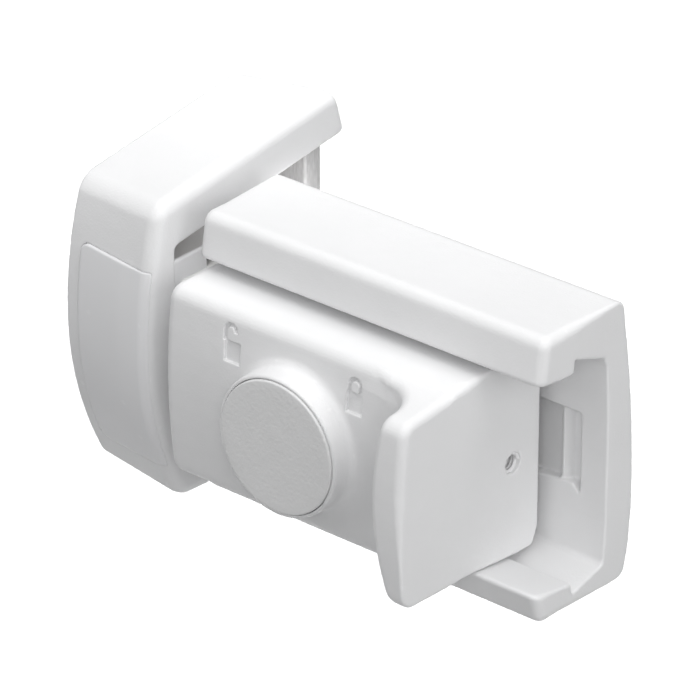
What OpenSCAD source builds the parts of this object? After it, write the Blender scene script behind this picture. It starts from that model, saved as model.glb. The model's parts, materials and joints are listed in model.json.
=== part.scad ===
// Stair gate latch in two halves. The wall half is a keeper that screws to a wall
// or post. The gate half is a rail housing on the gate, with a sliding bolt that
// a finger flange moves and a push button frees. The bolt's tongue locks into the
// keeper. +X runs from the wall to the gate, +Y to the back of the gate, +Z up.
// The origin is midway between the two wall screw holes, on the wall's surface.
// The keeper is drawn about that origin. The gate half is drawn in its own gate
// frame: X = 0 at the housing's keeper end, Y = 0 at the lips, Z = 0 underneath.

/* [Rail housing] */
// Length of the housing along the gate
housing_l = 84.4; // [84:0.2:90]
// Height of the housing
housing_h = 60; // [60:0.2:62]
// Depth from the lips to the flat mounting land
housing_d = 29; // [28.6:0.1:31]
// Radius of the two gate screw holes
gate_hole_r = 2.25; // [2:0.05:2.5]
// Distance between the two gate screw holes
gate_hole_gap = 40; // [36:1:42]

/* [Bolt] */
// Length of the sliding body
slide_l = 70; // [69:0.2:70]
// How far the slide moves to unlock
slide_travel = 14; // [12:0.5:14]
// How far the tongue stands out of the slide when locked
tongue_out = 18; // [14:0.5:18]
// Height of the tongue
tongue_h = 30.4; // [26:0.2:30.4]
// Front of the finger flange, measured from the lips
flange_y = 22.4; // [20:0.1:24]

/* [Button] */
// Diameter of the push button
button_d = 26.6; // [26:0.2:27]
// Button's place along the slide
button_x = 33.3; // [33:0.1:34]
// How far the button presses in
button_travel = 2.5; // [2:0.1:2.5]

/* [Keeper] */
// Width of the keeper from the wall to its open side
keeper_w = 22.5; // [22.5:0.5:28]
// Air gap between the keeper and the housing
half_gap = 5.5; // [4.5:0.5:9]
// Height of the keeper's top edge above the wall screws' middle
keeper_top = 30.5; // [30:0.5:32]
// Angle at which the upper arm rises towards the back
upper_flare = 8.1; // [7:0.1:9]
// Angle at which the lower arm falls towards the back
lower_flare = 4.4; // [3:0.1:6]
// Radius of the two wall screw holes
wall_hole_r = 2.6; // [2.2:0.1:2.8]
// Distance between the two wall screw holes
wall_hole_gap = 28; // [26:1:30]

/* [Hidden] */
$fn = 64;
big = 200;                          // longer than any part, for cuts
eps = 0.01;

// Gate frame to part frame
gate_x = keeper_w + half_gap;
wall_y = 30;                        // wall screws, behind the lips
mid_z = housing_h / 2;

// Housing section
back_in = 20.9;                     // inner face of the back wall
lip_top = 50.4;                     // underside of the upper lip
groove_y = 10.5;                    // where the undercut grooves begin
land_z = [12, 36];                  // flat mounting land on the back
gate_hole_x = 12;
gate_hole_z = 24;

// Slide section
slide_z = [7.5, 48];
slide_front = -8.3;                 // front face at its top and bottom edges
slide_bow = 1.7;                    // how far the front face swells
slide_back = 18.8;
wall_t = 2.6;
cavity_front = -6.4;
cavity_z = [10.4, 45];
plate_y = [14, 18.6];               // carrier plate
flange_t = 6.6;
flange_bow = 1.4;                   // how far the flange's rim swells out
flange_fillet = 8;
post_x = [19.5, 55];                // screw posts in the slide
post_z = [14.2, 41];
button_z = 27.7;
padlock_at = [[15.4, 37.4], [45.9, 37]];
padlock_depth = 0.35;

// Tongue
tongue_y = [1.8, 16];
tongue_z0 = 12.4;
tongue_root = 15.5;
tongue_screw_x = 9;
tongue_screw_z = [20, 35];

// Button parts, all along Y
cap_face = -14.7;
cap_back = -5;
cap_t = 2;
stem_r = 3.5;
stem_end = 16.55;
guide_y = 4;
clip_y = 12;
clip_t = 0.8;
running = 0.06;                     // radial clearance of a running fit
boss_r = button_d / 2 + 1.3;
tower_r = [10.5, 13.5];             // bore and outside of the carrier's tower
guide_screw_z = [button_z - 12, button_z + 12];
spring_r = 9.4;
spring_wire = 0.55;                 // radius of the spring's wire
spring_turns = 5;
ring_steps = 14;
wire_sides = 8;

// Sprung leaves
leaf_t = 0.5;
leaf_y = 16.6;
leaf_w = 7.6;
leaf_screw_x = [50, 55];
lock_notch_x = [button_x - 4.5, button_x + 4.5];
tab_reach = button_travel - 0.2;    // how deep the lock leaf's tabs stand in the notches
detent_x = [60.6, 63.6];
detent_screw_z = 13.8;
pocket_x = [detent_x[0] - 1.1, detent_x[1] + slide_travel + 0.3];   // travel stop
pocket_z = [18.7, 35];
pocket_depth = 2.3;
ridge_x = detent_x[0] + slide_travel - 1.4;                         // detent ridge
end_hole_y = 10.8;
end_hole_z = 26;
end_hole_r = 1.65;

// Keeper section, in the part frame
keeper_front = -38.6;               // crown of the barrel front
keeper_bottom = -34;
keeper_back = 22.3;                 // back of the arms' bulge
back_bow = 2.6;                     // how far that bulge stands out
crown_z = -1;
bow_up = 0.0052;                    // how fast the front falls back above the crown
bow_down = 0.0078;                  // and below it
keeper_in = -30.6;                  // inner face of the front wall
arm_t = 9.4;
front_turn = 4.6;                   // plan angles of the front and back faces
back_turn = 11;
web_t = 3;
web_back = 14.3;                    // back end of the web between the arms
cover_z = [-25.3, 17.4];
cover_x = [3.4, 21];
cover_deep = 1.6;
cover_proud = 0.5;
strike_t = 3;
strike_leg = [12.2, 17.1];
strike_screw_at = [[-7, -16], [-7, 16]];
socket_y = [-29.2, -13.2];
socket_z = [-18.3, 13.5];
socket_floor = 6;
receiver_screw_at = [[-21.2, -10], [-21.2, 6]];

// ---- Shared shapes -------------------------------------------------------

// Corners are [across, up, radius]. A radius of 0 leaves a sharp corner.
function unit(v) = v / norm(v);
function corner(a, b, c, r, n = 6) =
    let (u = unit([a[0] - b[0], a[1] - b[1]]), v = unit([c[0] - b[0], c[1] - b[1]]),
         half = acos(max(-1, min(1, u * v))) / 2, reach = r / tan(half),
         mid = [b[0], b[1]] + unit(u + v) * r / sin(half),
         p = [b[0], b[1]] + u * reach - mid, q = [b[0], b[1]] + v * reach - mid,
         a0 = atan2(p[1], p[0]), turn = atan2(q[1], q[0]) - a0,
         sweep = turn > 180 ? turn - 360 : turn < -180 ? turn + 360 : turn)
    [for (i = [0:n]) mid + r * [cos(a0 + sweep * i / n), sin(a0 + sweep * i / n)]];
function rounded(pts) =
    let (m = len(pts))
    [for (i = [0:m - 1])
        each pts[i][2] == 0 ? [[pts[i][0], pts[i][1]]]
            : corner(pts[(i + m - 1) % m], pts[i], pts[(i + 1) % m], pts[i][2])];

// Points strictly between two ends of a shallow curve that swells to one side
function swell(p, q, h, n = 8) =
    let (d = unit([q[0] - p[0], q[1] - p[1]]), side = [-d[1], d[0]])
    [for (i = [1:n - 1]) let (t = i / n, s = p + (q - p) * t + side * 4 * h * t * (1 - t))
        [s[0], s[1], 0]];

// A bent strip of even thickness along a path
function strip_side(path, d) =
    let (m = len(path) - 1)
    [for (i = [0:m])
        let (u = unit(path[i] - path[max(0, i - 1)] + (i == 0 ? path[1] - path[0] : [0, 0])),
             v = unit((i == m ? path[m] - path[m - 1] : path[i + 1] - path[i])),
             nrm = unit([-(u + v)[1], (u + v)[0]]), own = [-u[1], u[0]])
        path[i] + nrm * d / (nrm * own)];
module strip(path, t) {
    back = strip_side(path, -t / 2);
    polygon(concat(strip_side(path, t / 2), [for (i = [len(path) - 1:-1:0]) back[i]]));
}

module along_x(x0, x1) {
    translate([x0, 0, 0]) rotate([90, 0, 90]) linear_extrude(x1 - x0) children();
}
module along_z(z0, z1) {
    translate([0, 0, z0]) linear_extrude(z1 - z0) children();
}
// A lathe shape about an axis along Y; its outline is [radius, y]
module turned(x, z) {
    translate([x, 0, z]) rotate([-90, 0, 0]) rotate_extrude() children();
}
module rod_y(x, z, y0, y1, r, r_end = 0) {
    translate([x, y0, z]) rotate([-90, 0, 0])
        cylinder(h = y1 - y0, r1 = r, r2 = r_end > 0 ? r_end : r);
}
module rod_x(y, z, x0, x1, r, r_end = 0) {
    translate([x0, y, z]) rotate([0, 90, 0])
        cylinder(h = x1 - x0, r1 = r, r2 = r_end > 0 ? r_end : r);
}
module box(lo, hi) {
    translate(lo) cube(hi - lo);
}

// Countersunk screw along +X, its head's top at X = 0 and its point at X = -l
module screw(l, r, head_r) {
    difference() {
        union() {
            rod_x(0, 0, -l, 0, r);
            rod_x(0, 0, -(head_r - r), 0, r, head_r);
        }
        for (turn = [0, 90])
            rotate([turn, 0, 0]) box([-0.8 * r, -0.25 * r, -r], [eps, 0.25 * r, r]);
    }
}
// The hole for that screw, a little larger all round
module screw_hole(l, r, head_r, slack = 0.05) {
    rod_x(0, 0, -l - eps, 1, r + slack);
    rod_x(0, 0, -(head_r - r), slack, r + slack, head_r + slack);
}
// Turns a screw along +X so that its head faces +Y
module facing_back() {
    rotate([0, 0, 90]) children();
}
module in_gate() {
    translate([gate_x, -wall_y, -mid_z]) children();
}

// ---- Wall half -----------------------------------------------------------

function front_y(z) =
    keeper_front + (z > crown_z ? bow_up : bow_down) * (z - crown_z) * (z - crown_z);
function upper_z(y) = keeper_top + (y - front_y(keeper_top)) * tan(upper_flare);
function lower_z(y) = keeper_bottom - (y - front_y(keeper_bottom)) * tan(lower_flare);
// Points of the barrel front between two heights, moved by d towards the front
function barrel(z0, z1, d = 0, n = 12) =
    [for (i = [0:n]) let (z = z0 + (z1 - z0) * i / n) [front_y(z) - d, z, 0]];

// Barrel front with everything behind it
module front_outline(r) {
    edge = 2;
    polygon(rounded(concat(
        [[front_y(keeper_bottom), keeper_bottom, r]],
        barrel(keeper_bottom + 4 * edge, keeper_top - 4 * edge),
        [[front_y(keeper_top), keeper_top, r], [big, upper_z(big), 0], [big, lower_z(big), 0]])));
}
// Bulging arm ends with everything in front of them
module back_outline() {
    y = keeper_back - back_bow;
    polygon(rounded(concat(
        [[-big, lower_z(y), 0], [y, lower_z(y), 3]],
        swell([y, lower_z(y) + 3], [y, upper_z(y) - 3], -back_bow, 8),
        [[y, upper_z(y), 3], [-big, upper_z(y), 0]])));
}
// Space between the arms, open to the back
module bay_outline() {
    polygon(rounded([
        [keeper_in, upper_z(keeper_in) - arm_t, 2.5], [keeper_in, lower_z(keeper_in) + arm_t, 2.5],
        [big, lower_z(big) + arm_t, 0], [big, upper_z(big) - arm_t, 0]]));
}
module keeper_outer() {
    intersection() {
        box([0, -big, -big], [keeper_w, big, big]);
        translate([keeper_w, keeper_front, 0]) rotate([0, 0, -front_turn])
            translate([-keeper_w, -keeper_front, 0]) along_x(-10, keeper_w + 10) front_outline(3);
        translate([keeper_w, keeper_back, 0]) rotate([0, 0, back_turn])
            translate([-keeper_w, -keeper_back, 0]) along_x(-10, keeper_w + 10) back_outline();
    }
}

// Seat of the front cover, and the cover itself when proud of the barrel
module cover_solid(slack, proud) {
    intersection() {
        rotate([90, 0, 0]) linear_extrude(big) polygon(rounded([
            [cover_x[0] - slack, cover_z[0] - slack, 2], [cover_x[1] + slack, cover_z[0] - slack, 2],
            [cover_x[1] + slack, cover_z[1] + slack, 2], [cover_x[0] - slack, cover_z[1] + slack, 2]]));
        translate([keeper_w, keeper_front, 0]) rotate([0, 0, -front_turn])
            translate([-keeper_w, -keeper_front, 0]) along_x(-10, keeper_w + 10)
                polygon(rounded(concat(barrel(keeper_bottom, keeper_top, proud),
                    barrel(keeper_top, keeper_bottom, -cover_deep))));
    }
}

module keeper_shell() {
    color("whitesmoke") difference() {
        keeper_outer();
        difference() {
            along_x(-1, keeper_w + 1) bay_outline();
            box([-2, -big, -big], [web_t, web_back, big]);
        }
        cover_solid(0.1, 2);
        for (z = [-0.5, 0.5]) rod_x(0, z * wall_hole_gap, -1, web_t + 1, wall_hole_r);
        for (p = concat(receiver_screw_at, strike_screw_at))
            rod_x(p[0], p[1], -1, web_t + 1, 1.55);
    }
}

module keeper_cover() {
    color("white") cover_solid(0, cover_proud);
}

// Steel angle: one leg on the keeper's web, the other across the arms' back
module strike_bracket() {
    color("lightslategray") difference() {
        union() {
            box([web_t, -10.5, -23], [web_t + strike_t, strike_leg[1], 23]);
            box([web_t, strike_leg[0], -27.2], [keeper_w - 3.5, strike_leg[1], 27.2]);
        }
        for (z = [-0.5, 0.5])
            rod_x(0, z * wall_hole_gap, web_t - 1, web_t + strike_t + 1, wall_hole_r);
        for (p = strike_screw_at)
            translate([web_t + strike_t, p[0], p[1]]) screw_hole(strike_t + 1, 1.5, 3);
    }
}
module strike_screws() {
    color("silver") for (p = strike_screw_at)
        translate([web_t + strike_t, p[0], p[1]]) screw(strike_t + web_t - 0.3, 1.5, 3);
}

// Socket that the tongue enters
module bolt_receiver() {
    color("gainsboro") difference() {
        box([web_t, keeper_in, socket_z[0] - 2.6],
            [keeper_w - 1, socket_y[1] + 2.4, socket_z[1] + 2.6]);
        box([socket_floor, socket_y[0], socket_z[0]], [keeper_w, socket_y[1], socket_z[1]]);
        // Flared mouth
        along_z(socket_z[0] - 1, socket_z[1] + 1) polygon([
            [keeper_w - 3.4, socket_y[0] + 2], [keeper_w, socket_y[0] - 0.8],
            [keeper_w, socket_y[1] + 1.2], [keeper_w - 3.4, socket_y[1] - 2]]);
        for (p = receiver_screw_at)
            translate([socket_floor, p[0], p[1]]) screw_hole(socket_floor, 1.5, 3);
    }
}
module receiver_screws() {
    color("silver") for (p = receiver_screw_at)
        translate([socket_floor, p[0], p[1]]) screw(socket_floor - 0.3, 1.5, 3);
}

// ---- Gate half: rail housing ---------------------------------------------

module housing_section() {
    top = housing_h;
    polygon(rounded(concat(
        [[0.2, lip_top + 0.2, 1], [1.8, top, 2.6], [25, top, 2.8]],
        [for (s = swell([25, top - 2], [housing_d, land_z[1]], -0.5, 5)) s],
        [[housing_d, land_z[1], 0], [housing_d, land_z[0], 0], [housing_d - 0.8, 5, 0],
         [26.4, 0, 2.6], [1.8, 0, 2.4], [0.1, 6.6, 1],
         [groove_y + 0.2, 5.1, 0.3], [groove_y + 0.6, 3, 0.3], [20.4, 5.4, 1],
         [back_in, 14, 0], [back_in, 36, 0], [20.3, 47.5, 0], [19.4, 49.6, 0.6],
         [groove_y, 52.8, 0.3], [groove_y - 0.3, lip_top - 0.4, 0.3]])));
}

// Recess with a slanted lower corner that stops the slide's travel
module travel_pocket() {
    y0 = back_in - 1;
    y1 = back_in + pocket_depth;
    difference() {
        translate([0, y1, 0]) rotate([90, 0, 0]) linear_extrude(y1 - y0) polygon([
            [pocket_x[0], pocket_z[0]], [pocket_x[1] - 4, pocket_z[0]],
            [pocket_x[1], pocket_z[0] + 4], [pocket_x[1], pocket_z[1]],
            [pocket_x[0], pocket_z[1]]]);
        along_z(pocket_z[0] - 1, pocket_z[1] + 1) polygon([
            [ridge_x - 1.1, y1 + 1], [ridge_x - 1.1, y1], [ridge_x - 0.4, y1 - 1],
            [ridge_x + 0.4, y1 - 1], [ridge_x + 1.1, y1], [ridge_x + 1.1, y1 + 1]]);
    }
}

module rail_housing() {
    color("whitesmoke") in_gate() difference() {
        along_x(0, housing_l) housing_section();
        travel_pocket();
        // Notches in both lips for the lock leaf's tabs
        box([lock_notch_x[0], groove_y - tab_reach - 0.3, lip_top - 2],
            [lock_notch_x[1], groove_y + 1, 51.7]);
        box([lock_notch_x[0], groove_y - tab_reach - 0.3, 3.5],
            [lock_notch_x[1], groove_y + 1.2, 7]);
        for (x = [gate_hole_x, gate_hole_x + gate_hole_gap]) {
            rod_y(x, gate_hole_z, back_in - 3, housing_d + 1, gate_hole_r);
            rod_y(x, gate_hole_z, back_in - eps, back_in + 2.5, gate_hole_r + 2.5, gate_hole_r);
        }
    }
}

// ---- Gate half: sliding bolt ---------------------------------------------

module slide_section() {
    polygon(rounded(concat(
        [[slide_front, slide_z[1], 3.2], [groove_y + 0.45, slide_z[1] + 0.5, 0],
         [groove_y + 0.45, 52.1, 0.5], [16.8, 50, 2], [slide_back, 45, 2],
         [slide_back, 9.5, 2], [17, 5, 2], [groove_y + 1.05, 3.6, 0.5],
         [groove_y + 1.05, 6, 0], [0, 7.3, 0], [slide_front, slide_z[0], 3.2]],
        swell([slide_front, slide_z[0]], [slide_front, slide_z[1]], slide_bow, 10))));
}

// Side outline of the finger flange, bowed at the front
module flange_section() {
    y = -flange_y + flange_bow;
    polygon(rounded(concat(
        [[y, slide_z[1] - 2.1, 3.5], [slide_front, slide_z[1] - 1, 3],
         [0, slide_z[1], 0], [0, slide_z[0] - 0.2, 0], [y, slide_z[0] + 0.2, 3.5]],
        swell([y, slide_z[0] + 0.2], [y, slide_z[1] - 2.1], flange_bow, 10))));
}

// Plan of the flange, with a hollow fillet towards the slide's front
module flange_plan() {
    x0 = slide_l - flange_t;
    y0 = slide_front - slide_bow + 0.5;
    polygon(concat(
        rounded([[x0 - flange_fillet, y0 + 4, 0], [x0 - flange_fillet, y0, 0]]),
        [for (a = [90:-10:10])
            [x0 - flange_fillet + flange_fillet * cos(a), y0 - flange_fillet + flange_fillet * sin(a)]],
        corner([x0, y0], [x0, -flange_y - 0.6], [slide_l, -flange_y], 1.8),
        corner([x0, -flange_y - 0.6], [slide_l, -flange_y], [slide_l, 0], 1.2),
        [[slide_l, y0 + 4]]));
}

// Padlock silhouette; open, its shackle stands higher and its right leg is missing
module padlock(open) {
    w = 4;
    h = 4.4;
    r = 1.75;
    hole = 0.9;
    lift = open ? 1.9 : 1.3;
    square([w, h]);
    translate([open ? 1.4 : w / 2, h + lift]) {
        difference() {
            circle(r = r);
            circle(r = hole);
            translate([-2 * r, -2 * r]) square([4 * r, 2 * r]);
        }
        for (x = open ? [-r] : [-r, hole])
            translate([x, -lift - eps]) square([r - hole, lift + 2 * eps]);
    }
}
// Cuts for the padlocks, of even depth below the bowed front
module padlocks() {
    difference() {
        for (i = [0, 1]) translate([padlock_at[i][0], 0, padlock_at[i][1]])
            rotate([90, 0, 0]) linear_extrude(20) padlock(i == 0);
        translate([0, padlock_depth, 0]) along_x(0, slide_l) slide_section();
    }
}

// Round wall around the button, with a hollow fillet at its foot
module button_boss() {
    base = slide_front - slide_bow + 0.3;
    foot = 1.5;
    wall = boss_r + 0.2;
    turned(button_x, button_z) polygon(concat(
        [[0, cavity_front], [wall + foot + 1, cavity_front], [wall + foot, base]],
        [for (a = [75:-15:0]) [wall + foot * (1 - cos(a)), base - foot * (1 - sin(a))]],
        [for (a = [0:22.5:90])
            [boss_r - 0.7 * (1 - cos(a)), cap_face - 0.2 + 0.7 * (1 - sin(a))]],
        [[0, cap_face - 0.2]]));
}

module slide_shell() {
    color("whitesmoke") in_gate() difference() {
        union() {
            intersection() {
                along_x(0, slide_l) slide_section();
                along_z(-1, housing_h) polygon(rounded([
                    [0, slide_front - slide_bow, 2.8], [slide_l, slide_front - slide_bow, 0],
                    [slide_l, slide_back + 1, 0], [0, slide_back + 1, 0]]));
            }
            intersection() {
                along_x(0, slide_l) flange_section();
                along_z(0, housing_h) flange_plan();
            }
            button_boss();
        }
        difference() {
            box([wall_t, cavity_front, cavity_z[0]], [slide_l - 3.8, slide_back + 1, cavity_z[1]]);
            for (x = post_x, z = post_z) rod_y(x, z, cavity_front - 1, plate_y[0], 2.8);
            rod_y(button_x, button_z, cavity_front - 1, -3, boss_r + 0.1);
            rod_x(end_hole_y, end_hole_z, slide_l - 10, slide_l, 3.1);
        }
        for (x = post_x, z = post_z) rod_y(x, z, plate_y[0] - 8, plate_y[0] + 1, 1.05);
        rod_y(button_x, button_z, cap_face - 2, 0, button_d / 2 + running);
        rod_x(end_hole_y, end_hole_z, slide_l - 11, slide_l + 1, end_hole_r);
        rod_x(end_hole_y, end_hole_z, slide_l - 0.4, slide_l + eps, end_hole_r, 2.05);
        // Window for the tongue, open to the back
        box([-1, tongue_y[0] - 0.2, tongue_z0 - 0.2],
            [wall_t + 1, slide_back + 1, tongue_z0 + tongue_h + 0.2]);
        // Slots where the lock leaf passes out to the lips
        box([lock_notch_x[0], groove_y + 0.2, -1], [lock_notch_x[1], slide_back + 1, cavity_z[0] + 1]);
        box([lock_notch_x[0], groove_y + 0.2, cavity_z[1] - 1], [lock_notch_x[1], slide_back + 1, 60]);
        padlocks();
    }
}

module slide_carrier() {
    color("lightgray") in_gate() difference() {
        union() {
            box([wall_t + 0.2, plate_y[0], cavity_z[0] + 0.2],
                [slide_l - 4, plate_y[1], cavity_z[1] - 0.2]);
            rod_y(button_x, button_z, guide_y + 2, plate_y[0] + 1, tower_r[1]);
        }
        rod_y(button_x, button_z, guide_y, plate_y[0] + eps, tower_r[0]);
        rod_y(button_x, button_z, plate_y[0] - 1, slide_back, 8.5);
        // Seat for the tongue
        box([0, 0, tongue_z0 - 0.1], [tongue_root + 0.1, tongue_y[1], tongue_z0 + tongue_h + 0.1]);
        // Channels for the lock leaf and the detent leaf
        box([lock_notch_x[0], leaf_y - 0.4, 0], [lock_notch_x[1], slide_back, 60]);
        box([button_x, leaf_y - 0.4, button_z - 5.2], [58.6, slide_back, button_z + 5.2]);
        box([detent_x[0] - 0.6, leaf_y + 0.3, 0], [detent_x[1] + 0.6, slide_back, 60]);
        rod_x(end_hole_y, end_hole_z, slide_l - 11, slide_l, 3.3);
        for (x = post_x, z = post_z) translate([x, plate_y[1], z])
            facing_back() screw_hole(6, 1.3, 2.6);
        for (z = tongue_screw_z) translate([tongue_screw_x, plate_y[1], z])
            facing_back() screw_hole(6, 1.5, 3);
        for (x = leaf_screw_x) rod_y(x, button_z, plate_y[0] - 1, slide_back, 0.95);
        rod_y((detent_x[0] + detent_x[1]) / 2, detent_screw_z, plate_y[0] - 1, slide_back, 0.85);
        for (z = guide_screw_z) rod_y(button_x, z, guide_y, guide_y + 8, 0.85);
    }
}
module carrier_screws() {
    color("silver") in_gate() for (x = post_x, z = post_z)
        translate([x, plate_y[1], z]) facing_back() screw(11, 1, 2.3);
}

module bolt_tongue() {
    w = tongue_y[1] - tongue_y[0];
    nose = 3.5;
    color("white") in_gate() difference() {
        intersection() {
            along_z(tongue_z0, tongue_z0 + tongue_h) polygon(rounded([
                [-tongue_out, tongue_y[0] + nose, 1.5], [-tongue_out, tongue_y[1] - nose, 1.5],
                [-tongue_out + nose, tongue_y[1], 1.5], [tongue_root, tongue_y[1], 0],
                [tongue_root, tongue_y[0], 0], [-tongue_out + nose, tongue_y[0], 1.5]]));
            translate([0, big / 2, 0]) rotate([90, 0, 0]) linear_extrude(big) polygon(rounded([
                [-tongue_out, tongue_z0 + 2, 2], [-tongue_out + 3, tongue_z0, 1],
                [tongue_root, tongue_z0, 0], [tongue_root, tongue_z0 + tongue_h, 0],
                [-tongue_out + 3, tongue_z0 + tongue_h, 1],
                [-tongue_out, tongue_z0 + tongue_h - 2, 2]]));
        }
        for (z = tongue_screw_z)
            rod_y(tongue_screw_x, z, tongue_y[0] + w - 9, tongue_y[1] + 1, 1.55);
    }
}
module tongue_screws() {
    color("silver") in_gate() for (z = tongue_screw_z)
        translate([tongue_screw_x, plate_y[1], z]) facing_back() screw(10, 1.5, 3);
}

// Bowed vertical leaf whose crown rides in the housing's pocket
module detent_leaf() {
    low = leaf_y + 0.8;
    crown = back_in + 1.5;
    color("silver") in_gate() difference() {
        along_x(detent_x[0], detent_x[1]) strip([[low, 11.6], [low, 17.6], [crown, 23],
            [crown, 30.8], [low, 36.2], [low, 43]], leaf_t);
        rod_y((detent_x[0] + detent_x[1]) / 2, detent_screw_z, 0, slide_back, 0.85);
    }
}
module detent_screw() {
    color("silver") in_gate()
        translate([(detent_x[0] + detent_x[1]) / 2, leaf_y + 1.9, detent_screw_z])
            facing_back() difference() {
                union() {
                    rod_x(0, 0, -4, 0, 0.8);
                    rod_x(0, 0, -0.8, 0, 1.4);
                }
                box([-0.4, -0.25, -2], [1, 0.25, 2]);
            }
}

// T-shaped spring leaf: the arm is screwed to the carrier, the bar's bent tabs
// stand in the lip notches until the button's stem pushes the bar back
module lock_leaf() {
    mid = leaf_y + leaf_t / 2;
    color("silver") in_gate() difference() {
        union() {
            along_x(button_x - leaf_w / 2, button_x + leaf_w / 2)
                strip([[groove_y - tab_reach, 50.9], [groove_y + 1.3, 50.9], [mid, 44.6],
                    [mid, 10.4], [groove_y + 1.5, 4.4], [groove_y - tab_reach, 4.4]], leaf_t);
            box([button_x + 2, leaf_y, button_z - 4], [58, leaf_y + leaf_t, button_z + 4]);
        }
        for (x = leaf_screw_x) rod_y(x, button_z, 0, slide_back, 0.95);
    }
}
module leaf_screws() {
    color("silver") in_gate() for (x = leaf_screw_x)
        translate([x, leaf_y + leaf_t + 0.8, button_z]) facing_back() difference() {
            union() {
                rod_x(0, 0, -3.6, 0, 0.9);
                rod_x(0, 0, -0.8, 0, 1.8);
            }
            box([-0.4, -0.25, -2], [1, 0.25, 2]);
        }
}

// ---- Gate half: button ---------------------------------------------------

module button_guide() {
    color("gainsboro") in_gate() difference() {
        turned(button_x, button_z) polygon([
            [stem_r + 0.05, -3], [6, -3], [6, guide_y], [tower_r[1], guide_y],
            [tower_r[1], guide_y + 2], [7.5, guide_y + 2], [6.5, clip_y], [stem_r + 0.05, clip_y]]);
        for (z = guide_screw_z) rod_y(button_x, z, guide_y - 1, guide_y + 3, 0.85);
    }
}
module guide_screws() {
    color("silver") in_gate() for (z = guide_screw_z)
        translate([button_x, guide_y - 0.7, z]) rotate([0, 0, -90]) difference() {
            union() {
                rod_x(0, 0, -6, 0, 0.8);
                rod_x(0, 0, -0.7, 0, 1.3);
            }
            box([-0.4, -0.2, -2], [1, 0.2, 2]);
        }
}

module button_cap() {
    r = button_d / 2;
    color("white") in_gate() turned(button_x, button_z) polygon(concat(
        [[0, cap_face]],
        [for (a = [90:-18:0]) [r - 0.8 + 0.8 * cos(a), cap_face + 0.8 - 0.8 * sin(a)]],
        [[r, cap_back], [r - 1.5, cap_back], [r - 1.5, cap_face + cap_t], [5.6, cap_face + cap_t],
         [5.2, cap_back - 1.5], [stem_r, cap_back - 1.5], [stem_r, cap_face + cap_t - 0.2],
         [0, cap_face + cap_t - 0.2]]));
}
module button_stem() {
    groove = 0.85;
    color("silver") in_gate() turned(button_x, button_z) polygon([
        [0, cap_face + cap_t - 0.2], [stem_r, cap_face + cap_t - 0.2], [stem_r, clip_y],
        [stem_r - groove, clip_y], [stem_r - groove, clip_y + clip_t + 0.1],
        [stem_r, clip_y + clip_t + 0.1], [stem_r, stem_end - 0.6], [stem_r - 0.6, stem_end],
        [0, stem_end]]);
}
// Open retaining ring in the stem's groove
module button_clip() {
    color("silver") in_gate() difference() {
        rod_y(button_x, button_z, clip_y + 0.05, clip_y + 0.05 + clip_t, 5.6);
        rod_y(button_x, button_z, clip_y - 1, clip_y + 2, stem_r - 0.8);
        box([button_x - 1.9, clip_y - 1, button_z - 8], [button_x + 1.9, clip_y + 2, button_z]);
    }
}

// Coil spring about the stem, swept ring by ring with closed ends
function spring_ring(i) =
    let (rings = spring_turns * ring_steps, t = i / rings, a = 360 * spring_turns * t,
         y0 = cap_face + cap_t + spring_wire + 0.05, y1 = guide_y - spring_wire - 0.05,
         // the end turns lie nearly flat
         e = 0.5 / spring_turns, u = t < e ? 0.12 * t / e : t > 1 - e ? 0.88 + 0.12 * (t - 1 + e) / e
            : 0.12 + 0.76 * (t - e) / (1 - 2 * e),
         y = y0 + (y1 - y0) * u)
    [for (k = [0:wire_sides - 1])
        let (b = 360 * k / wire_sides, r = spring_r + spring_wire * cos(b))
        [r * cos(a), y + spring_wire * sin(b), r * sin(a)]];
module button_spring() {
    rings = spring_turns * ring_steps;
    pts = [for (i = [0:rings], p = spring_ring(i)) p];
    sides = [for (i = [0:rings - 1], k = [0:wire_sides - 1])
        let (a = i * wire_sides, n = (k + 1) % wire_sides)
        [a + k, a + n, a + wire_sides + n, a + wire_sides + k]];
    caps = [[for (k = [wire_sides - 1:-1:0]) k],
            [for (k = [0:wire_sides - 1]) rings * wire_sides + k]];
    color("silver") in_gate() translate([button_x, 0, button_z])
        polyhedron(pts, concat(sides, caps));
}

keeper_shell();
keeper_cover();
strike_bracket();
strike_screws();
bolt_receiver();
receiver_screws();
rail_housing();
slide_shell();
slide_carrier();
carrier_screws();
bolt_tongue();
tongue_screws();
detent_leaf();
detent_screw();
lock_leaf();
leaf_screws();
button_guide();
guide_screws();
button_cap();
button_stem();
button_clip();
button_spring();
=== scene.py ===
import json
import math

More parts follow.
